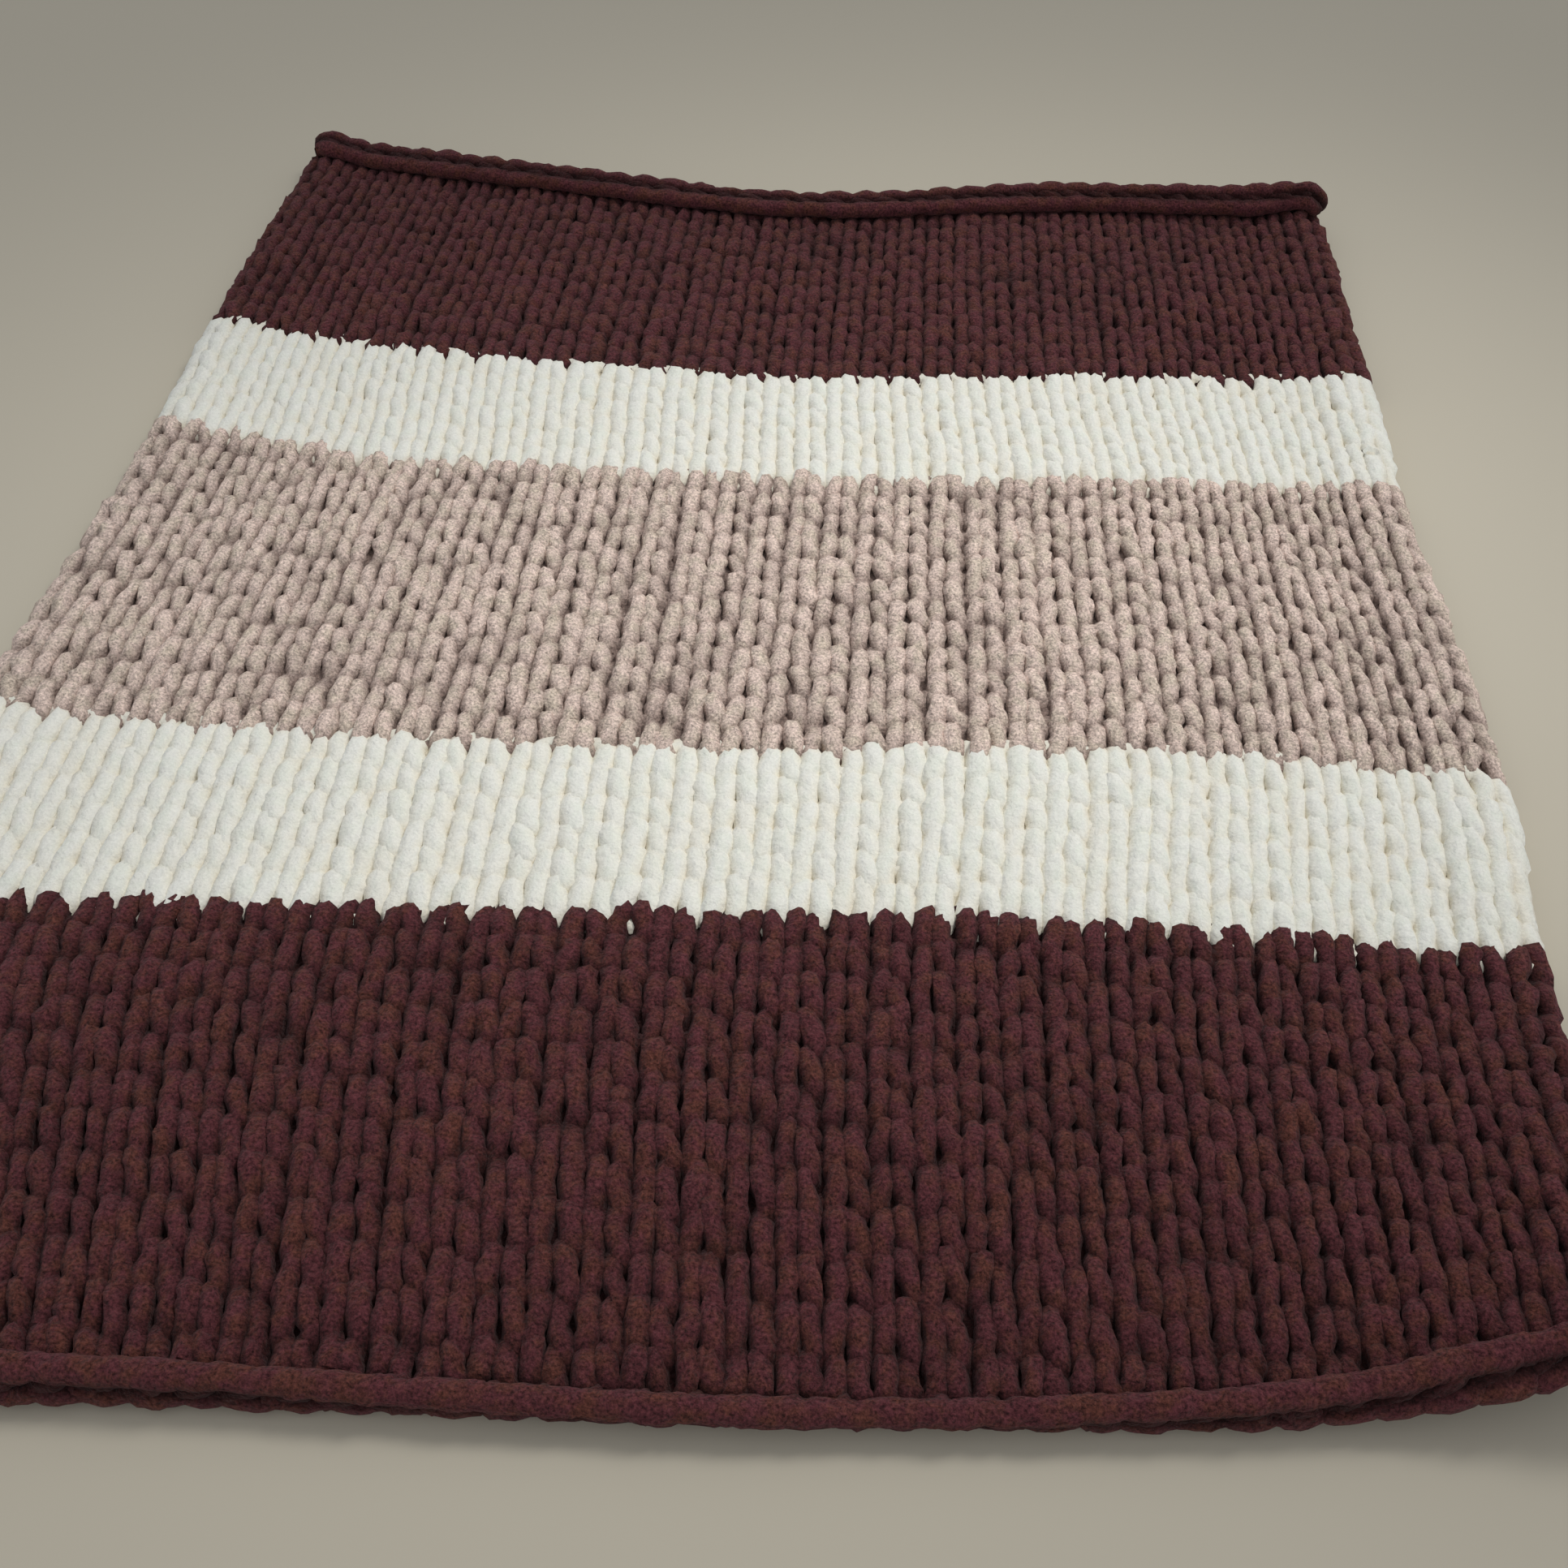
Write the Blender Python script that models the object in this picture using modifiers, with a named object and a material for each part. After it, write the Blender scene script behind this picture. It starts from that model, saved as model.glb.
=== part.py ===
"""Chunky hand-knit throw blanket, lying flat on the ground with its knit side up.

The blanket is one piece of stockinette knitting in five bands of colour. It is a soft,
thick cloth: two layers of yarn, one behind the other. Knitting of this kind curls. Its
first and last rows turn up and over the knit side, and its two side edges turn down.
One near corner lifts off the ground as its edge curls over.

Frame: metres, +Z up, +Y away from the near edge, origin under the middle of the blanket.
"""
import math
from collections import namedtuple

import bmesh
import bpy

# ---- driving sizes ----
WALES = 39                   # columns of stitches across the blanket
WALE = 0.0329                # width of one column of stitches
THICKNESS = 0.024            # front and back layer of yarn together
FLAT_WIDTH = WALES * WALE    # the width if its side edges were pressed flat

# ---- side edges: the outermost stitches turn down over the ground ----
SIDE_RADIUS = 0.022          # radius of the turn, to the middle of the cloth
SIDE_TURN = math.radians(60)
SIDE_RISE = 0.008            # the cloth stands this much higher before it turns down
SIDE_RISE_LENGTH = 0.070

# ---- the lines across the cloth, from the far edge to the near one ----
# The cloth bends up at the two fold lines. The other four are the changes of colour.
# left and right are the x of the side edges, y_... the line's place at five points across.
Line = namedtuple("Line", "name left right y_left y_quarter y_middle y_three_quarter y_right")
LINES = (
    Line("far_fold", -0.628, 0.629, 0.738, 0.688, 0.643, 0.684, 0.693),
    Line("burgundy_to_white", -0.634, 0.632, 0.362, 0.323, 0.306, 0.332, 0.349),
    Line("white_to_taupe", -0.629, 0.631, 0.181, 0.137, 0.137, 0.158, 0.165),
    Line("taupe_to_white", -0.643, 0.646, -0.238, -0.244, -0.235, -0.211, -0.224),
    Line("white_to_burgundy", -0.645, 0.634, -0.431, -0.419, -0.401, -0.388, -0.398),
    Line("near_fold", -0.560, 0.620, -0.779, -0.7665, -0.760, -0.736, -0.684),
)
ACROSS = (0.0, 0.25, 0.5, 0.75, 1.0)

# The lines are drawn from a point near the middle. The origin is under the middle of the
# whole blanket's box, which is here.
BOX_MIDDLE_X = 0.0005
BOX_MIDDLE_Y = -0.0207

# ---- the two curled edges ----
# radius is to the middle of the cloth, degrees is how far it turns over, and lift is how
# high the fold line lies above the rest of the cloth.
Curl = namedtuple("Curl", "across radius degrees lift")
FAR_CURL = (
    Curl(0.00, 0.0130, 140, 0.000),
    Curl(0.25, 0.0130, 152, 0.000),
    Curl(0.50, 0.0130, 138, 0.000),
    Curl(0.75, 0.0130, 158, 0.000),
    Curl(1.00, 0.0140, 172, 0.000),
)
NEAR_CURL = (
    Curl(0.00, 0.0130, 95, 0.000),
    Curl(0.25, 0.0130, 76, 0.000),
    Curl(0.42, 0.0130, 50, 0.000),
    Curl(0.60, 0.0130, 45, 0.000),
    Curl(0.80, 0.0140, 75, 0.003),
    Curl(1.00, 0.0180, 125, 0.034),
)
LIFT_LENGTH = 0.26           # the lifted corner comes down to the ground over this length

# ---- low swells where the cloth does not lie quite flat ----
Swell = namedtuple("Swell", "x y half_width half_length height")
SWELLS = (
    Swell(-0.53, 0.52, 0.13, 0.20, 0.007),
    Swell(0.47, 0.50, 0.15, 0.13, 0.005),
    Swell(-0.30, 0.02, 0.17, 0.12, 0.004),
    Swell(0.50, -0.10, 0.11, 0.19, 0.006),
    Swell(-0.50, -0.55, 0.13, 0.15, 0.005),
    Swell(0.16, -0.60, 0.20, 0.10, 0.004),
)

# ---- the surface's grid ----
SIDE_STEPS = 3               # segments in each side turn
MIDDLE_STEPS = 22            # segments across between the side turns
CURL_STEPS = 6               # segments around each curled edge
LENGTH_STEPS = 44            # segments along between the fold lines

YARN_COLOUR = (0.075, 0.022, 0.024, 1.0)
YARN_ROUGHNESS = 0.95


def smooth(stations, values, x):
    """Read a value between the stations, on a curve that never passes beyond them."""
    gaps = [b - a for a, b in zip(stations, stations[1:])]
    rises = [(b - a) / gap for a, b, gap in zip(values, values[1:], gaps)]
    slopes = [rises[0]]
    for before, after in zip(rises, rises[1:]):
        slopes.append(2 * before * after / (before + after) if before * after > 0 else 0.0)
    slopes.append(rises[-1])
    i = 0
    while i < len(gaps) - 1 and x > stations[i + 1]:
        i += 1
    t = (x - stations[i]) / gaps[i]
    start = (1 + 2 * t) * (1 - t) ** 2 * values[i] + t * (1 - t) ** 2 * gaps[i] * slopes[i]
    end = t * t * (3 - 2 * t) * values[i + 1] - t * t * (1 - t) * gaps[i] * slopes[i + 1]
    return start + end


def soft_step(t):
    """Go from 0 to 1 with no corner at either end."""
    t = min(max(t, 0.0), 1.0)
    return t * t * (3 - 2 * t)


def line_y(line, across):
    """The y of a line across the cloth."""
    return smooth(ACROSS, line[3:], across)


# The lines' mean places, as shares of the way from the far fold line to the near one.
MEAN_Y = [sum(line[3:]) / len(ACROSS) for line in LINES]
SHARES = [(MEAN_Y[0] - y) / (MEAN_Y[0] - MEAN_Y[-1]) for y in MEAN_Y]


def side_turn(across):
    """Height of the cloth's middle near a side edge, and its run in from the outline."""
    turn_length = SIDE_RADIUS * SIDE_TURN
    from_edge = min(across, 1 - across) * FLAT_WIDTH
    edge_x = THICKNESS / 2 * math.sin(SIDE_TURN)
    turn_run = SIDE_RADIUS * math.sin(SIDE_TURN)
    if from_edge >= turn_length:
        rise = SIDE_RISE * (1 - soft_step((from_edge - turn_length) / SIDE_RISE_LENGTH))
        return rise, edge_x + turn_run
    angle = (turn_length - from_edge) / SIDE_RADIUS
    drop = SIDE_RADIUS * (1 - math.cos(angle))
    return SIDE_RISE - drop, edge_x + turn_run - SIDE_RADIUS * math.sin(angle)


def curl_at(curl, across):
    """Radius, angle and lift of a curled edge, part of the way across."""
    stations = [row.across for row in curl]
    radius = smooth(stations, [row.radius for row in curl], across)
    degrees = smooth(stations, [row.degrees for row in curl], across)
    lift = smooth(stations, [row.lift for row in curl], across)
    return radius, math.radians(degrees), lift


def swell_height(x, y):
    """How much the low swells lift the cloth at a place."""
    height = 0.0
    for swell in SWELLS:
        away = ((x - swell.x) / swell.half_width) ** 2 + ((y - swell.y) / swell.half_length) ** 2
        height += swell.height * max(0.0, 1 - away) ** 2
    return height


def cloth_point(across, along):
    """A point of the cloth's middle surface.

    across runs from 0 at the left side edge to 1 at the right one. along runs from -1 at
    the far free edge, over the curl to 0 at the far fold line, 1 at the near fold line
    and 2 at the near free edge.
    """
    share = min(max(along, 0.0), 1.0)
    left = smooth(SHARES, [line.left for line in LINES], share)
    right = smooth(SHARES, [line.right for line in LINES], share)
    y = smooth(SHARES, [line_y(line, across) for line in LINES], share)
    rise, inset = side_turn(across)
    turn_share = SIDE_RADIUS * SIDE_TURN / FLAT_WIDTH
    if across < turn_share:
        x = left + inset
    elif across > 1 - turn_share:
        x = right - inset
    else:
        middle = (across - turn_share) / (1 - 2 * turn_share)
        x = (left + inset) * (1 - middle) + (right - inset) * middle
    near_radius, near_angle, lift = curl_at(NEAR_CURL, across)
    near_y = line_y(LINES[-1], across)
    z = THICKNESS / 2 + rise + swell_height(x, y)
    z += lift * soft_step(1 - (y - near_y) / LIFT_LENGTH)
    if along < 0:
        radius, angle, _ = curl_at(FAR_CURL, across)
        turned = -along * angle
        y += radius * math.sin(turned)
        z += radius * (1 - math.cos(turned))
    if along > 1:
        turned = (along - 1) * near_angle
        y -= near_radius * math.sin(turned)
        z += near_radius * (1 - math.cos(turned))
    return x - BOX_MIDDLE_X, y - BOX_MIDDLE_Y, z


def steps(start, end, count):
    """Evenly spaced values from start up to, but not including, end."""
    return [start + (end - start) * i / count for i in range(count)]


def make_blanket(collection):
    """The whole blanket: a grid laid on the middle surface, thickened to a closed solid."""
    turn_share = SIDE_RADIUS * SIDE_TURN / FLAT_WIDTH
    columns = steps(0.0, turn_share, SIDE_STEPS)
    columns += steps(turn_share, 1 - turn_share, MIDDLE_STEPS)
    columns += steps(1 - turn_share, 1.0, SIDE_STEPS) + [1.0]
    rows = steps(2.0, 1.0, CURL_STEPS) + steps(1.0, 0.0, LENGTH_STEPS)
    rows += steps(0.0, -1.0, CURL_STEPS) + [-1.0]

    mesh = bpy.data.meshes.new("knit_blanket")
    grid = bmesh.new()
    across_count = len(columns) - 1
    along_count = len(rows) - 1
    bmesh.ops.create_grid(grid, x_segments=across_count, y_segments=along_count, size=0.5)
    for vertex in grid.verts:
        column = round((vertex.co.x + 0.5) * across_count)
        row = round((vertex.co.y + 0.5) * along_count)
        vertex.co = cloth_point(columns[column], rows[row])
    grid.to_mesh(mesh)
    grid.free()
    mesh.shade_smooth()

    blanket = bpy.data.objects.new("knit_blanket", mesh)
    collection.objects.link(blanket)
    thicken = blanket.modifiers.new("two layers of yarn", "SOLIDIFY")
    thicken.thickness = THICKNESS
    thicken.offset = 0.0
    return blanket


def yarn_material():
    """Burgundy chenille yarn, the colour of the two end bands."""
    material = bpy.data.materials.new("burgundy yarn")
    material.use_nodes = True
    shader = material.node_tree.nodes["Principled BSDF"]
    shader.inputs["Base Color"].default_value = YARN_COLOUR
    shader.inputs["Roughness"].default_value = YARN_ROUGHNESS
    shader.inputs["Metallic"].default_value = 0.0
    return material


def main():
    """Clear the scene and build the blanket in a collection of its own."""
    for thing in list(bpy.data.objects):
        bpy.data.objects.remove(thing)
    collection = bpy.data.collections.new("Knit blanket")
    bpy.context.scene.collection.children.link(collection)
    blanket = make_blanket(collection)
    blanket.data.materials.append(yarn_material())


main()
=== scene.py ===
"""A chunky hand-knit throw blanket in five bands of colour, lying flat on a pale floor."""
import math
from collections import namedtuple

import bmesh
import bpy
import numpy as np
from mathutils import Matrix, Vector, noise


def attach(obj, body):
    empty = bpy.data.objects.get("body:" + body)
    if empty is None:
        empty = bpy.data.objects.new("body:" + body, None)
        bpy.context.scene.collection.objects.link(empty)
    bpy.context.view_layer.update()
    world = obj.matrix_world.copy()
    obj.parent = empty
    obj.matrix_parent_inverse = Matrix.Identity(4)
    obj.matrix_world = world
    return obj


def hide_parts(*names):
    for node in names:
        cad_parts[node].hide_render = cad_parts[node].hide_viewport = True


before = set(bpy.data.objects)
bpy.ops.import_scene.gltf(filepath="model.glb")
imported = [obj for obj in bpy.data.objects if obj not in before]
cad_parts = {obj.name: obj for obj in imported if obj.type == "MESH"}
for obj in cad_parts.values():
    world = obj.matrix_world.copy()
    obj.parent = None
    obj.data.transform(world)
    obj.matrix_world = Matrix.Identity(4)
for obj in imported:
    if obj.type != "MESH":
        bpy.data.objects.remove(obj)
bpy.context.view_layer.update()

# ======================================================================================
# Camera. The blanket is seen from above its near edge by someone standing over it, with
# the whole far edge in view and the two near corners just outside.
# ======================================================================================
CAMERA_PLACE = Vector((0.1217, -1.0946, 0.9664))
CAMERA_BELOW_LEVEL = 48.0      # degrees that the camera looks down
CAMERA_TURN = 4.5              # degrees to the left of the blanket's length
PICTURE_SIDE = 1932.0          # pixels, for a square picture
FOCAL_PIXELS = 1933.0
SENSOR = 36.0                  # millimetres
NEAREST_SEEN = 0.05

camera_data = bpy.data.cameras.new("camera")
camera_data.sensor_width = SENSOR
camera_data.lens = SENSOR * FOCAL_PIXELS / PICTURE_SIDE
camera_data.clip_start = NEAREST_SEEN
camera = bpy.data.objects.new("camera", camera_data)
camera.location = CAMERA_PLACE
camera.rotation_euler = (math.radians(90.0 - CAMERA_BELOW_LEVEL), 0.0, math.radians(CAMERA_TURN))
bpy.context.scene.collection.objects.link(camera)
bpy.context.scene.camera = camera

# ======================================================================================
# The lie of the cloth: one piece of stockinette, two layers of yarn thick. Its end rows
# curl over the knit side, its side edges turn down to the floor, and one near corner lifts.
# Every piece below is drawn flat and then laid on this surface. Sizes are in metres.
# ======================================================================================
WALES = 39                     # columns of stitches
WALE = 0.0329                  # width of a column
THICKNESS = 0.024
FLAT_WIDTH = WALES * WALE

SIDE_RADIUS = 0.022            # of the bend down to the floor along each side edge
SIDE_TURN = math.radians(60)
SIDE_RISE = 0.008              # how far the cloth lifts just inside that bend
SIDE_RISE_LENGTH = 0.070       # and how far in from there it has settled again

# The two fold lines and the four changes of colour: where each one's ends lie across the
# floor, and how far along it the line is at five places.
Line = namedtuple("Line", "name left right y_left y_quarter y_middle y_three_quarter y_right")
LINES = (
    Line("far_fold", -0.628, 0.629, 0.738, 0.688, 0.643, 0.684, 0.693),
    Line("burgundy_to_white", -0.634, 0.632, 0.362, 0.323, 0.306, 0.332, 0.349),
    Line("white_to_taupe", -0.629, 0.631, 0.181, 0.137, 0.137, 0.158, 0.165),
    Line("taupe_to_white", -0.643, 0.646, -0.238, -0.244, -0.235, -0.211, -0.224),
    Line("white_to_burgundy", -0.645, 0.634, -0.431, -0.419, -0.401, -0.388, -0.398),
    Line("near_fold", -0.560, 0.620, -0.779, -0.7665, -0.760, -0.736, -0.684),
)
ACROSS = (0.0, 0.25, 0.5, 0.75, 1.0)
# How far the columns stray to the right of an even spacing on each line, in columns.
STRAY = (
    (0.00, -0.45, 0.20, 0.40, 0.00),
    (0.00, -0.50, 0.20, 0.42, 0.00),
    (0.00, -0.10, 0.40, 0.85, 0.00),
    (0.00, 0.00, 0.43, 0.74, 0.00),
    (0.10, 0.20, 0.75, 0.62, 0.00),
    (0.00, 0.00, 0.40, 0.45, 0.00),
)
# The middle of the laid cloth, which comes to stand on the origin.
BOX_MIDDLE_X = 0.0005
BOX_MIDDLE_Y = -0.0207

Curl = namedtuple("Curl", "across radius degrees lift", defaults=(0.0,))
FAR_CURL = (
    Curl(0.00, 0.0130, 140),
    Curl(0.25, 0.0130, 152),
    Curl(0.50, 0.0130, 138),
    Curl(0.75, 0.0130, 158),
    Curl(1.00, 0.0140, 172),
)
NEAR_CURL = (
    Curl(0.00, 0.0130, 95),
    Curl(0.25, 0.0130, 76),
    Curl(0.42, 0.0130, 50),
    Curl(0.60, 0.0130, 45),
    Curl(0.80, 0.0140, 75, 0.003),
    Curl(1.00, 0.0180, 125, 0.034),
)
LIFT_LENGTH = 0.26             # of the slope up to the lifted near corner

Swell = namedtuple("Swell", "x y half_width half_length height")
SWELLS = (
    Swell(-0.53, 0.52, 0.13, 0.20, 0.007),
    Swell(0.47, 0.50, 0.15, 0.13, 0.005),
    Swell(-0.30, 0.02, 0.17, 0.12, 0.004),
    Swell(0.50, -0.10, 0.11, 0.19, 0.006),
    Swell(-0.50, -0.55, 0.13, 0.15, 0.005),
    Swell(0.16, -0.60, 0.20, 0.10, 0.004),
)

# Rows of stitches in each band, from the far edge to the near one.
Band = namedtuple("Band", "name rows")
BANDS = (
    Band("far_burgundy", 12),
    Band("far_white", 6),
    Band("taupe", 12),
    Band("near_white", 6),
    Band("near_burgundy", 12),
)
ROWS = sum(band.rows for band in BANDS)
ROW = 0.0310                   # mean height of a row, for the flat drawing of the stitches


def smooth(stations, values, x):
    """Read values between stations on a curve that never passes beyond them."""
    stations = np.asarray(stations, float)
    values = [np.broadcast_to(value, x.shape) for value in values]
    gaps = np.diff(stations)
    rises = [(b - a) / gap for a, b, gap in zip(values, values[1:], gaps)]
    slopes = [rises[0]]
    for before, after in zip(rises, rises[1:]):
        same_way = before * after > 0
        total = np.where(same_way, before + after, 1.0)
        slopes.append(np.where(same_way, 2 * before * after / total, 0.0))
    slopes.append(rises[-1])
    i = np.clip(np.searchsorted(stations, x) - 1, 0, len(gaps) - 1)

    def pick(rows, at):
        return np.take_along_axis(np.stack(rows), at[None], 0)[0]

    gap = gaps[i]
    t = np.clip((x - stations[i]) / gap, 0.0, 1.0)
    start = (1 + 2 * t) * (1 - t) ** 2 * pick(values, i) + t * (1 - t) ** 2 * gap * pick(slopes, i)
    end = t * t * (3 - 2 * t) * pick(values, i + 1) - t * t * (1 - t) * gap * pick(slopes, i + 1)
    return start + end


def soft_step(t):
    """Go from 0 to 1 with no corner at either end."""
    t = np.clip(t, 0.0, 1.0)
    return t * t * (3 - 2 * t)


# How far down the cloth each line lies, from 0 at the far fold to 1 at the near one.
MEAN_Y = [sum(line[3:]) / len(ACROSS) for line in LINES]
SHARES = [(MEAN_Y[0] - y) / (MEAN_Y[0] - MEAN_Y[-1]) for y in MEAN_Y]
# How many rows lie before each band, and in all.
FIRST_ROWS = np.cumsum([0] + [band.rows for band in BANDS])


def read_curl(curl, across):
    """Radius, degrees and lift of a curled end, at places across the cloth."""
    stations = [place.across for place in curl]
    return [smooth(stations, [getattr(place, part) for place in curl], across)
            for part in ("radius", "degrees", "lift")]


def middle_of_cloth(wale, row):
    """The cloth's middle surface, from its column and its row as knitted."""
    across = np.clip(wale / WALES, 0.0, 1.0)
    line_y = [smooth(ACROSS, line[3:], across) for line in LINES]
    far_radius, far_degrees, _ = read_curl(FAR_CURL, across)
    near_radius, near_degrees, near_lift = read_curl(NEAR_CURL, across)
    far_arc = far_radius * np.radians(far_degrees)
    near_arc = near_radius * np.radians(near_degrees)

    # How far each end row lies past its fold line, along the cloth.
    first, last = FIRST_ROWS[1], FIRST_ROWS[-2]
    far_length = far_arc + line_y[0] - line_y[1]
    near_length = near_arc + line_y[-2] - line_y[-1]
    from_far = far_length * row / first
    from_near = near_length * (ROWS - row) / (ROWS - last)
    past_far = np.maximum(far_arc - from_far, 0.0)
    past_near = np.maximum(near_arc - from_near, 0.0)

    # Where the row lies between the two fold lines.
    share = np.interp(row, FIRST_ROWS[1:-1], SHARES[1:-1])
    far_part = np.clip((from_far - far_arc) / (far_length - far_arc), 0.0, 1.0) * SHARES[1]
    near_part = np.clip((from_near - near_arc) / (near_length - near_arc), 0.0, 1.0)
    share = np.where(row < first, far_part, share)
    share = np.where(row > last, 1.0 - near_part * (1.0 - SHARES[-2]), share)

    y = smooth(SHARES, line_y, share)
    left = smooth(SHARES, [line.left for line in LINES], share)
    right = smooth(SHARES, [line.right for line in LINES], share)

    # The side edges turn down.
    turn_length = SIDE_RADIUS * SIDE_TURN
    from_edge = np.minimum(wale, WALES - wale) * WALE
    inset = THICKNESS / 2 * math.sin(SIDE_TURN) + SIDE_RADIUS * math.sin(SIDE_TURN)
    turned = np.maximum(turn_length - from_edge, 0.0) / SIDE_RADIUS
    rise = SIDE_RISE * (1 - soft_step((from_edge - turn_length) / SIDE_RISE_LENGTH))
    rise = rise - SIDE_RADIUS * (1 - np.cos(turned))
    stray = smooth(SHARES, [smooth(ACROSS, line, across) for line in STRAY], share)
    between = ((wale + stray) * WALE - turn_length) / (FLAT_WIDTH - 2 * turn_length)
    between = np.clip(between, 0.0, 1.0)
    x = (left + inset) * (1 - between) + (right - inset) * between
    x = x + np.sign(wale - WALES / 2) * SIDE_RADIUS * np.sin(turned)

    # The swells, the lifted corner and the two curls.
    z = THICKNESS / 2 + rise
    for swell in SWELLS:
        away = ((x - swell.x) / swell.half_width) ** 2 + ((y - swell.y) / swell.half_length) ** 2
        z = z + swell.height * np.maximum(1 - away, 0.0) ** 2
    z = z + near_lift * soft_step(1 - (y - line_y[-1]) / LIFT_LENGTH)
    far_turn = past_far / far_radius
    near_turn = past_near / near_radius
    y = y + far_radius * np.sin(far_turn) - near_radius * np.sin(near_turn)
    z = z + far_radius * (1 - np.cos(far_turn)) + near_radius * (1 - np.cos(near_turn))
    return np.stack([x - BOX_MIDDLE_X, y - BOX_MIDDLE_Y, z], axis=-1)


def ways_of_cloth(wale, row, step):
    """Unit vectors over the columns, down the rows and out of the knit side, at each point."""
    over = middle_of_cloth(wale + step, row) - middle_of_cloth(wale - step, row)
    down = middle_of_cloth(wale, row + step) - middle_of_cloth(wale, row - step)
    normal = np.cross(down, over)
    return [way / np.linalg.norm(way, axis=1, keepdims=True) for way in (over, down, normal)]


FLOOR_CLEARANCE = 0.0004
LAY_STEP = 0.03                # of a column or row, to each side of a point, for its slope


def lay(flat):
    """Lay points of the flat drawing on the cloth: x across, y along the rows, z up."""
    wale = flat[:, 0] / WALE
    row = flat[:, 1] / ROW
    _, _, normal = ways_of_cloth(wale, row, LAY_STEP)
    laid = middle_of_cloth(wale, row) + normal * flat[:, 2:3]
    laid[:, 2] = np.maximum(laid[:, 2], FLOOR_CLEARANCE)
    return laid


# ======================================================================================
# Chenille yarn. A thick round yarn of short velvety pile on a twisted core, space-dyed a
# little unevenly, so each colour drifts between two shades. Where the pile is pressed
# between neighbours, painted shade darkens its colour.
# ======================================================================================
PAINTED_LIGHT_REACH = "painted_light_reach"          # 0 where the pile lies deep in the cloth and takes the full painted shade, 1 outside with none
SHEEN_ROUGHNESS = 0.6
PILE_SPECULAR = 0.08           # pile hardly mirrors anything

# Scale, detail and roughness of each kind of unevenness.
Unevenness = namedtuple("Unevenness", "scale detail roughness")
DYE_PATCHES = Unevenness(55.0, 5.0, 0.65)
PILE_CLUMPS = Unevenness(120.0, 2.0, 0.55)
PILE_TUFTS = Unevenness(420.0, 3.0, 0.70)
# Between these values the patches and tufts go from one shade to the other.
PATCH_RANGE = (0.44, 0.62)
TUFT_RANGE = (0.32, 0.68)
CLUMP_HEIGHT = 0.0060
TUFT_HEIGHT = 0.0022


def chenille(name, shade, second_shade, painted_deep_shade, speckle, sheen, sheen_tint, relief):
    """Velvety yarn: two shades in soft patches, light and dark tufts of pile, and painted shade
    where the pile lies deep.
    """
    material = bpy.data.materials.new(name)
    material.use_nodes = True
    nodes, links = material.node_tree.nodes, material.node_tree.links
    shader = nodes["Principled BSDF"]
    shader.inputs["Roughness"].default_value = 1.0
    shader.inputs["Sheen Weight"].default_value = sheen
    shader.inputs["Sheen Roughness"].default_value = SHEEN_ROUGHNESS
    shader.inputs["Sheen Tint"].default_value = (*sheen_tint, 1.0)
    shader.inputs["Specular IOR Level"].default_value = PILE_SPECULAR
    place = nodes.new("ShaderNodeTexCoord")

    def cloudy(unevenness):
        texture = nodes.new("ShaderNodeTexNoise")
        texture.inputs["Scale"].default_value = unevenness.scale
        texture.inputs["Detail"].default_value = unevenness.detail
        texture.inputs["Roughness"].default_value = unevenness.roughness
        links.new(place.outputs["Object"], texture.inputs["Vector"])
        return texture.outputs["Fac"]

    def ranged(value, ends, lowest, highest):
        step = nodes.new("ShaderNodeMapRange")
        step.inputs["From Min"].default_value = ends[0]
        step.inputs["From Max"].default_value = ends[1]
        step.inputs["To Min"].default_value = lowest
        step.inputs["To Max"].default_value = highest
        links.new(value, step.inputs["Value"])
        return step.outputs["Result"]

    def mixed(factor, first, second):
        step = nodes.new("ShaderNodeMix")
        step.data_type = "RGBA"
        links.new(factor, step.inputs["Factor"])
        for socket, colour in (("A", first), ("B", second)):
            if isinstance(colour, tuple):
                step.inputs[socket].default_value = (*colour, 1.0)
            else:
                links.new(colour, step.inputs[socket])
        return step.outputs["Result"]

    def raised(height, distance):
        bump = nodes.new("ShaderNodeBump")
        bump.inputs["Strength"].default_value = relief
        bump.inputs["Distance"].default_value = distance
        links.new(height, bump.inputs["Height"])
        return bump

    patches = ranged(cloudy(DYE_PATCHES), PATCH_RANGE, 0.0, 1.0)
    tufts = cloudy(PILE_TUFTS)
    painted_light_reach = nodes.new("ShaderNodeAttribute")
    painted_light_reach.attribute_name = PAINTED_LIGHT_REACH
    dyed = mixed(patches, shade, second_shade)
    # Painted shade: deep in the cloth, the dyed colour darkens to the yarn's deep colour.
    shaded = mixed(painted_light_reach.outputs["Fac"], painted_deep_shade, dyed)
    speckled = nodes.new("ShaderNodeVectorMath")
    speckled.operation = "SCALE"
    links.new(shaded, speckled.inputs["Vector"])
    flecks = ranged(tufts, TUFT_RANGE, 1.0 - speckle, 1.0 + speckle)
    links.new(flecks, speckled.inputs["Scale"])
    links.new(speckled.outputs["Vector"], shader.inputs["Base Color"])

    clumps = raised(cloudy(PILE_CLUMPS), CLUMP_HEIGHT)
    pile = raised(tufts, TUFT_HEIGHT)
    links.new(clumps.outputs["Normal"], pile.inputs["Normal"])
    links.new(pile.outputs["Normal"], shader.inputs["Normal"])
    return material


# Each yarn's deep colour is painted shade for the pile between the stitches. The white's is warmed
# with painted bounced light.
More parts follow.
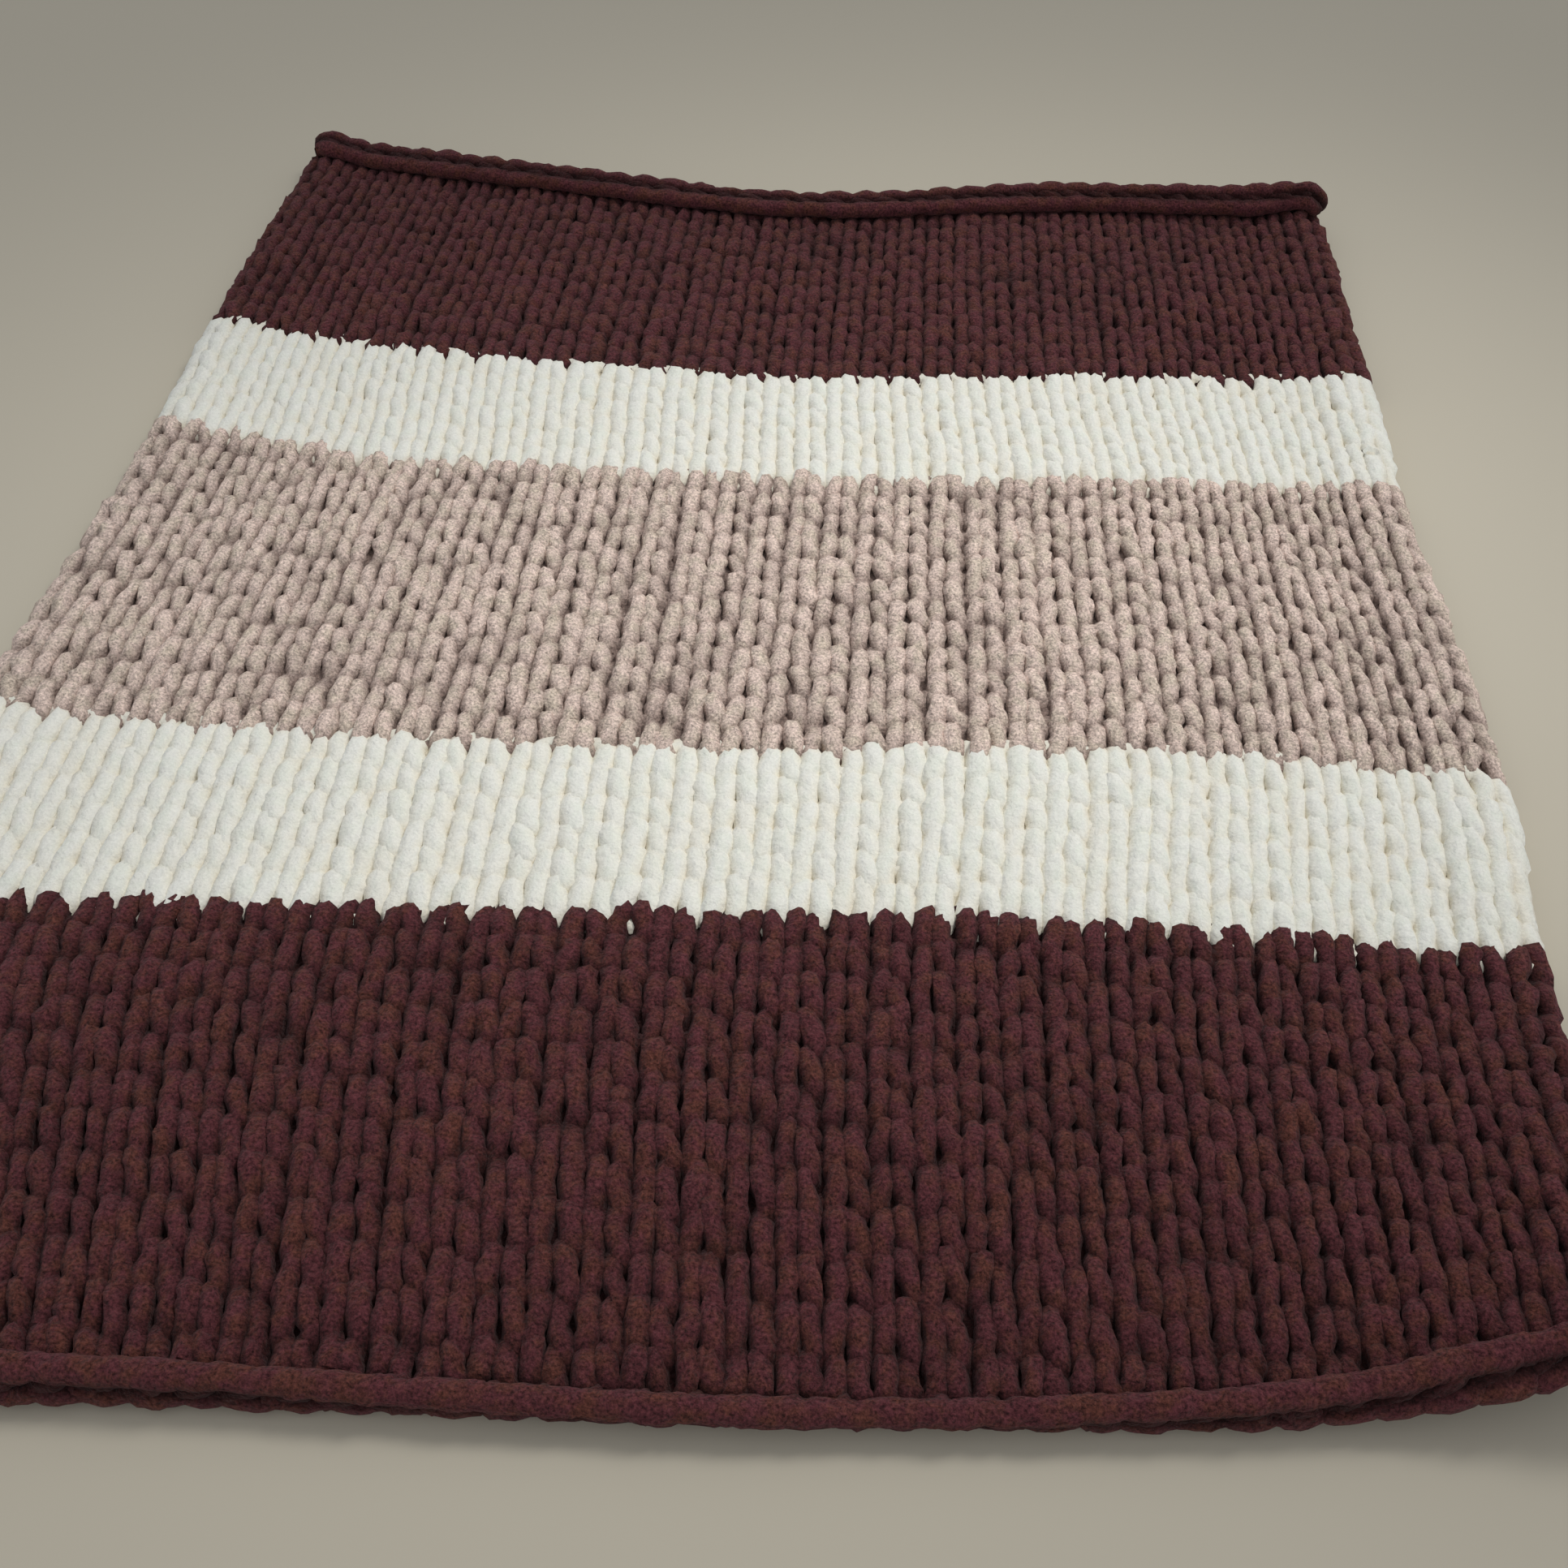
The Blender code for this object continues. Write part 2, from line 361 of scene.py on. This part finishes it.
BURGUNDY = chenille("burgundy chenille", shade=(0.090, 0.0250, 0.0300),
                    second_shade=(0.098, 0.0320, 0.0235), painted_deep_shade=(0.018, 0.005, 0.005),
                    speckle=0.72, sheen=0.25, sheen_tint=(0.36, 0.25, 0.25), relief=0.8)
WHITE = chenille("white chenille", shade=(0.81, 0.81, 0.755),
                 second_shade=(0.78, 0.80, 0.725), painted_deep_shade=(0.79, 0.74, 0.62),
                 speckle=0.08, sheen=0.20, sheen_tint=(1.0, 1.0, 1.0), relief=0.4)
TAUPE = chenille("taupe chenille", shade=(0.76, 0.604, 0.531),
                 second_shade=(0.656, 0.552, 0.453), painted_deep_shade=(0.26, 0.19, 0.165),
                 speckle=0.50, sheen=0.12, sheen_tint=(0.9, 0.8, 0.75), relief=0.8)

# ======================================================================================
# The stitches. Each row is one run of yarn looped through the row before it: two legs on
# the knit side, and behind them the head of the loop and the link to the next stitch. The
# yarn turns at the side edge and comes back as the next row.
# ======================================================================================
STITCH_STEPS = 22              # points along one stitch
LEG_BIAS = 0.25                # draws the points together on the legs, which show
YARN_SIDES = 2                 # bevel resolution: eight sides
END_INSET = 0.30               # of a row: the chains hide the heads of the end rows
TAIL_STEPS = 5                 # left off the first loop, which ends inside the cloth
OWN_RADIUS_AT = 0.6            # where plump adds nothing: 0 is a leg's ends, 1 its middle

# How each colour is knitted. The left leg of a loop stands nearly straight. The right leg
# slants outwards, and is thickest at its near end.
# - plump fattens the legs, and taper thins their near ends, as shares of the radius.
# - lean swings a leg's near end outwards and its far end inwards, as a share of a column.
# - reach is how far a loop goes to each side of its row's middle, as a share of a row.
# - depth is how far the legs stand in front of the cloth's middle and the heads behind it.
# - shingle is how far a leg's far end rises and its near end sinks.
# - flat_leg is how squarely a leg runs along the front before it dives to the back.
# - uneven scales the drifts below, and fuzz and lump roughen the pile and its clumps.
Knit = namedtuple("Knit", "radius plump left_taper right_taper left_lean right_lean reach "
                          "depth shingle flat_leg uneven fuzz lump")
BURGUNDY_KNIT = Knit(0.0093, 0.03, 0.04, -0.04, 0.140, 0.180, 0.81,
                     0.0038, 0.0026, 2.0, 0.9, 0.0005, 0.0036)
WHITE_KNIT = Knit(0.0110, 0.06, 0.03, -0.02, 0.140, 0.165, 0.80,
                  0.0016, 0.0006, 2.8, 0.8, 0.0004, 0.0018)
TAUPE_KNIT = Knit(0.0091, 0.04, 0.04, -0.04, 0.145, 0.190, 0.79,
                  0.0038, 0.0028, 1.9, 1.0, 0.0005, 0.0034)

rng = np.random.default_rng(39)    # the knitter's hand, the same every time


def drift(spread, over_rows, over_legs):
    """A random number for every leg of every row, much alike over some rows and legs."""
    field = rng.normal(0.0, 1.0, (ROWS + 2 * over_rows, 2 * WALES + 2 * over_legs))
    for axis, run in ((0, over_rows), (1, over_legs)):
        window = np.hanning(2 * run + 1)[1:-1] if run > 0 else np.ones(1)
        field = np.apply_along_axis(np.convolve, axis, field, window, "same")
    field = field[over_rows:over_rows + ROWS, over_legs:over_legs + 2 * WALES]
    return spread * (field - field.mean()) / field.std()


# All are in metres, but for the width, which is a share of the radius, and the shingle, which
# is a share of itself.
across_drift = drift(0.0011, 3, 1) + drift(0.0004, 0, 0)
along_drift = drift(0.0020, 1, 4) + drift(0.0050, 0, 0)
height_drift = drift(0.0005, 2, 2) + drift(0.0006, 0, 0)
width_drift = drift(0.03, 2, 0) + drift(0.04, 0, 0)
length_drift = drift(0.0022, 0, 0)
lean_drift = drift(0.0010, 1, 0)
shingle_drift = drift(0.35, 0, 0)


def stitch_row(row, knit):
    """Points and radii of the yarn along one row, from the left edge to the right."""
    wale, step = np.meshgrid(np.arange(WALES), np.arange(STITCH_STEPS), indexing="ij")
    turn = -math.pi + 2 * math.pi * step / STITCH_STEPS
    turn = turn + LEG_BIAS / 2 * np.sin(2 * turn)
    leg = 2 * wale + (turn > 0)
    on_leg = np.sin(turn) ** 2
    uneven = knit.uneven * on_leg
    lean = np.where(turn < 0, knit.left_lean, knit.right_lean)
    taper = np.where(turn < 0, knit.left_taper, knit.right_taper) * on_leg
    spread = turn / (2 * math.pi) + lean * np.sin(2 * turn)
    x = (wale + 0.5 + spread) * WALE
    y = row + 0.5 + knit.reach * np.cos(turn)
    y = np.clip(y, END_INSET, ROWS - END_INSET) * ROW
    front = np.tanh(-knit.flat_leg * np.cos(2 * turn)) / math.tanh(knit.flat_leg)
    z = knit.depth * front - knit.shingle * np.cos(turn) * (1 + shingle_drift[row, leg] * on_leg)
    x = x + (across_drift[row, leg] + lean_drift[row, leg] * np.sin(2 * turn)) * uneven
    y = y + (along_drift[row, leg] + length_drift[row, leg] * np.cos(turn)) * uneven
    z = z + height_drift[row, leg] * uneven
    shape = knit.plump * (on_leg - OWN_RADIUS_AT) - taper * np.cos(turn)
    radius = knit.radius * (1 + shape + width_drift[row, leg] * uneven)
    return np.stack([x, y, z, radius], axis=-1).reshape(-1, 4)


def drawn_yarn(name, points, sides):
    """A mesh tube through the points, which carry its radius too."""
    curve = bpy.data.curves.new(name, "CURVE")
    curve.dimensions = "3D"
    curve.bevel_depth = 1.0
    curve.bevel_resolution = sides
    curve.use_fill_caps = True
    spline = curve.splines.new("POLY")
    spline.points.add(len(points) - 1)
    place = np.column_stack([points[:, :3], np.ones(len(points))])
    spline.points.foreach_set("co", place.ravel())
    spline.points.foreach_set("radius", points[:, 3])
    drawn = bpy.data.objects.new(name, curve)
    bpy.context.scene.collection.objects.link(drawn)
    bpy.context.view_layer.update()
    seen = drawn.evaluated_get(bpy.context.evaluated_depsgraph_get())
    mesh = bpy.data.meshes.new_from_object(seen)
    bpy.data.objects.remove(drawn)
    mesh.name = name
    return mesh


def read_vectors(collection, key):
    """One row of x, y, z for each item of a mesh."""
    values = np.empty(len(collection) * 3, np.float32)
    collection.foreach_get(key, values)
    return values.reshape(-1, 3).astype(float)


def place_vertices(mesh, places):
    """Put each vertex of a mesh at its own place."""
    mesh.vertices.foreach_set("co", places.astype(np.float32).ravel())
    mesh.update()


DEEP = 0.0066                  # from the middle of the cloth: the pile here takes the full painted shade
OPEN = 0.0125                  # and from here on it takes no painted shade
LUMP_SIZE = 0.010              # of the clumps that the pile stands in


def finish_yarn(name, mesh, laid, painted_light_share, fuzz, lump, material):
    """Roughen the pile, put the vertices where they lie and make the piece."""
    place_vertices(mesh, laid)
    normals = read_vectors(mesh.vertex_normals, "vector")
    clumps = np.array([noise.noise(Vector(place)) for place in (laid / LUMP_SIZE).tolist()])
    proud = lump * clumps + rng.normal(0.0, fuzz, len(laid))
    laid = laid + normals * proud[:, None]
    laid[:, 2] = np.maximum(laid[:, 2], FLOOR_CLEARANCE)
    place_vertices(mesh, laid)
    # Stored for each vertex: 0 where the pile takes the full painted shade, 1 where it takes none.
    painted_light_reach = mesh.attributes.new(PAINTED_LIGHT_REACH, "FLOAT", "POINT")
    painted_light_reach.data.foreach_set("value", np.clip(painted_light_share, 0.0, 1.0).astype(np.float32))
    mesh.shade_smooth()
    mesh.materials.clear()
    mesh.materials.append(material)
    yarn = bpy.data.objects.new(name, mesh)
    bpy.context.scene.collection.objects.link(yarn)
    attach(yarn, "root")
    return yarn


def knit_rows(name, first, last, knit, material, slot):
    """Rows first to last - 1, knitted back and forth with one length of yarn."""
    runs = []
    for row in range(first, last):
        run = stitch_row(row, knit)
        runs.append(run if row % 2 == 0 else run[::-1])
    if first == 0:
        runs[0] = runs[0][TAIL_STEPS:]
    mesh = drawn_yarn(name, np.concatenate(runs), YARN_SIDES)
    flat = read_vectors(mesh.vertices, "co")
    # Painted shade by how near the yarn lies to the cloth's middle: the deeper, the darker.
    painted_light_share = (np.abs(flat[:, 2]) - DEEP) / (OPEN - DEEP)
    return finish_yarn(name, mesh, lay(flat), painted_light_share, knit.fuzz, knit.lump, material)


# Each ball of yarn makes six rows, from its first up to but not including its last.
Ball = namedtuple("Ball", "name first last knit material slot")
BALLS = (
    Ball("far_burgundy_rows_a", 0, 6, BURGUNDY_KNIT, BURGUNDY, "burgundy_yarn"),
    Ball("far_burgundy_rows_b", 6, 12, BURGUNDY_KNIT, BURGUNDY, "burgundy_yarn"),
    Ball("far_white_rows", 12, 18, WHITE_KNIT, WHITE, "white_yarn"),
    Ball("taupe_rows_a", 18, 24, TAUPE_KNIT, TAUPE, "taupe_yarn"),
    Ball("taupe_rows_b", 24, 30, TAUPE_KNIT, TAUPE, "taupe_yarn"),
    Ball("near_white_rows", 30, 36, WHITE_KNIT, WHITE, "white_yarn"),
    Ball("near_burgundy_rows_a", 36, 42, BURGUNDY_KNIT, BURGUNDY, "burgundy_yarn"),
    Ball("near_burgundy_rows_b", 42, 48, BURGUNDY_KNIT, BURGUNDY, "burgundy_yarn"),
)
yarn_pieces = [knit_rows(*ball) for ball in BALLS]

# ======================================================================================
# The cast-on and bound-off edges. A chain of thick loose loops runs along each end of the
# cloth, one for every column, and holds the loops of the last row from unravelling.
# ======================================================================================
CHAIN_RADIUS = 0.0087
CHAIN_SIDES = 4                # bevel resolution: twelve sides
CHAIN_START = 0.30             # of a column, in from the left edge
CHAIN_END = 0.17               # of a column, past the right edge
CHAIN_ROW = 0.16               # of a row, in from the end of the cloth
CHAIN_OUT = 0.003              # from there to the middle of the chain
CHAIN_HOLD = 0.15              # of a column: the outermost place that carries the chain
CHAIN_STEP = 0.05              # of a column or row, to each side of a point, for its slope
CHAIN_DEEP = 0.008             # from the middle of the chain: the pile here takes the full painted shade
CHAIN_OPEN_DEPTH = 0.006       # and it takes no painted shade this much further out
CHAIN_FUZZ = 0.0003
CHAIN_LUMP = 0.0012
LINK_UNEVEN = 0.05             # spread of the links' sizes
# One link, for a pitch of one column: along the edge, sideways, outwards and thickness.
LINK = np.array([
    (-0.12, 0.0078, 0.0000, 0.96),
    (0.20, 0.0082, 0.0006, 1.00),
    (0.60, 0.0085, 0.0012, 1.03),
    (1.00, 0.0083, 0.0008, 1.00),
    (1.28, 0.0076, 0.0002, 0.96),
    (1.36, 0.0000, -0.0040, 0.75),
    (1.28, -0.0058, -0.0008, 0.90),
    (1.00, -0.0082, 0.0012, 1.00),
    (0.60, -0.0096, 0.0016, 1.08),
    (0.20, -0.0082, 0.0008, 0.98),
    (-0.12, -0.0056, -0.0012, 0.88),
    (0.35, -0.0022, 0.0004, 0.94),
    (0.70, 0.0018, 0.0004, 0.94),
])
LINK_LOOSENESS = (0.02, 0.0004, 0.0004, 0.03)      # spread of each of those four


def edge_chain(name, row, outwards, tip, material):
    """A chain of links laid along the end of the cloth, tipped to its back."""
    keys = []
    for k in range(WALES):
        size = 1.0 + LINK_UNEVEN * rng.normal()
        loose = rng.normal(0.0, 1.0, LINK.shape) * LINK_LOOSENESS
        keys.append(LINK * (1.0, size, size, size) + (k, 0.0, 0.0, 0.0) + loose)
    keys = np.concatenate(keys)
    first, last = LINK[:, 0].min(), WALES - 1 + LINK[:, 0].max()
    keys[:, 0] = np.interp(keys[:, 0], (first, last), (CHAIN_START, WALES + CHAIN_END))
    # A smooth run through the keys (Catmull-Rom), which stops at the last one.
    before = np.vstack([keys[:1], keys[:-1]])
    after = np.vstack([keys[1:], keys[-1:]])
    beyond = np.vstack([keys[2:], keys[-1:], keys[-1:]])
    runs = []
    for t in (0.0, 1 / 3, 2 / 3):
        runs.append(0.5 * (2 * keys + (after - before) * t
                           + (2 * before - 5 * keys + 4 * after - beyond) * t * t
                           + (3 * keys - before - 3 * after + beyond) * t ** 3))
    points = np.stack(runs, axis=1).reshape(-1, 4)[:-2] * (WALE, 1.0, 1.0, CHAIN_RADIUS)
    mesh = drawn_yarn(name, points, CHAIN_SIDES)
    chain = read_vectors(mesh.vertices, "co")
    wale = np.clip(chain[:, 0] / WALE, CHAIN_HOLD, WALES - CHAIN_HOLD)
    past_end = chain[:, 0] / WALE - wale
    sideways, upwards = chain[:, 1], chain[:, 2]
    beyond_edge = sideways * math.cos(tip) + upwards * math.sin(tip) + CHAIN_OUT
    in_front = sideways * math.sin(tip) - upwards * math.cos(tip)
    rows = np.full(len(wale), float(row))
    over, down, normal = ways_of_cloth(wale, rows, CHAIN_STEP)
    laid = middle_of_cloth(wale, rows) + down * (beyond_edge * outwards)[:, None]
    laid = laid + normal * in_front[:, None]
    laid = laid + over * (past_end * WALE)[:, None]
    laid[:, 2] = np.maximum(laid[:, 2], FLOOR_CLEARANCE)
    # Painted shade on the chain's inner strands, by how near they lie to its middle.
    painted_light_share = (np.hypot(sideways, upwards) - CHAIN_DEEP) / CHAIN_OPEN_DEPTH
    return finish_yarn(name, mesh, laid, painted_light_share, CHAIN_FUZZ, CHAIN_LUMP, material)


FAR_TIP = math.radians(72)     # how far each chain leans over to the back of the cloth
NEAR_TIP = math.radians(45)
yarn_pieces.append(
    edge_chain("cast_on_chain", CHAIN_ROW, -1, FAR_TIP, BURGUNDY))
yarn_pieces.append(
    edge_chain("bound_off_chain", ROWS - CHAIN_ROW, 1, NEAR_TIP, BURGUNDY))

# ======================================================================================
# The heart of the cloth, where the front and back layers of yarn press together: a thin
# sheet inside the stitches, in the bands' colours at their full painted shade, which
# closes the gaps between them.
# ======================================================================================
HEART_THICKNESS = 0.005
HEART_COLUMNS = 60
HEART_ROWS = 96
HEART_INSET = 0.35             # of a column, in from the side edges

heart_mesh = bpy.data.meshes.new("cloth_heart_painted_shade")
grid = bmesh.new()
bmesh.ops.create_grid(grid, x_segments=HEART_COLUMNS, y_segments=HEART_ROWS, size=0.5)
for vertex in grid.verts:
    # The grid is one unit square around the origin, and its top is the far edge.
    wide = HEART_INSET + (vertex.co.x + 0.5) * (WALES - 2 * HEART_INSET)
    vertex.co = (wide * WALE, (0.5 - vertex.co.y) * ROWS * ROW, 0.0)
grid.to_mesh(heart_mesh)
grid.free()
place_vertices(heart_mesh, lay(read_vectors(heart_mesh.vertices, "co")))
heart_mesh.shade_smooth()
heart_mesh.attributes.new(PAINTED_LIGHT_REACH, "FLOAT", "POINT")      # 0 all over: it lies deep inside, so it takes the full painted shade
for material in (BURGUNDY, WHITE, TAUPE):
    heart_mesh.materials.append(material)
# Which of those three each row is knitted in.
band_colours = np.repeat([0, 1, 2, 1, 0], [band.rows for band in BANDS])
for polygon in heart_mesh.polygons:
    row = ROWS - 1 - polygon.index // HEART_COLUMNS * ROWS // HEART_ROWS
    polygon.material_index = int(band_colours[row])
heart = bpy.data.objects.new("cloth_heart_painted_shade", heart_mesh)
bpy.context.scene.collection.objects.link(heart)
thicken = heart.modifiers.new("thickness", "SOLIDIFY")
thicken.thickness = HEART_THICKNESS
thicken.offset = 0.0
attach(heart, "root")
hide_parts("knit_blanket")

# ======================================================================================
# The room: a plain pale floor, even light from all round, and one soft box high up beyond
# the far right corner, which picks out the loops.
# ======================================================================================
FLOOR_SIDE = 12.0
FLOOR_COLOUR = (0.54, 0.495, 0.40, 1.0)
FLOOR_ROUGHNESS = 0.8

floor_mesh = bpy.data.meshes.new("floor")
grid = bmesh.new()
bmesh.ops.create_grid(grid, x_segments=1, y_segments=1, size=FLOOR_SIDE / 2)
grid.to_mesh(floor_mesh)
grid.free()
floor = bpy.data.objects.new("floor", floor_mesh)
bpy.context.scene.collection.objects.link(floor)
floor_material = bpy.data.materials.new("pale floor")
floor_material.use_nodes = True
floor_shader = floor_material.node_tree.nodes["Principled BSDF"]
floor_shader.inputs["Base Color"].default_value = FLOOR_COLOUR
floor_shader.inputs["Roughness"].default_value = FLOOR_ROUGHNESS
floor_mesh.materials.append(floor_material)

ROOM_LIGHT_COLOUR = (0.95, 0.97, 1.0, 1.0)
ROOM_LIGHT_STRENGTH = 0.52

world = bpy.data.worlds.new("soft room light")
world.use_nodes = True
room_light = world.node_tree.nodes["Background"]
room_light.inputs["Color"].default_value = ROOM_LIGHT_COLOUR
room_light.inputs["Strength"].default_value = ROOM_LIGHT_STRENGTH
bpy.context.scene.world = world

# A square soft box, dimmer away from its beam.
LAMP_PLACE = Vector((1.7, 1.0, 3.0))
LAMP_AIM = Vector((0.05, -0.05, 0.0))
LAMP_SIDE = 1.2
LAMP_SPREAD = math.radians(38.0)
LAMP_WATTS = 4.5
LAMP_COLOUR = (1.0, 0.98, 0.94)

lamp_data = bpy.data.lights.new("main light", "AREA")
lamp_data.shape = "SQUARE"
lamp_data.size = LAMP_SIDE
lamp_data.spread = LAMP_SPREAD
lamp_data.energy = LAMP_WATTS
lamp_data.color = LAMP_COLOUR
lamp = bpy.data.objects.new("main light", lamp_data)
lamp.location = LAMP_PLACE
lamp.rotation_euler = (LAMP_AIM - LAMP_PLACE).to_track_quat("-Z", "Y").to_euler()
bpy.context.scene.collection.objects.link(lamp)

bpy.context.scene.view_settings.view_transform = "Standard"
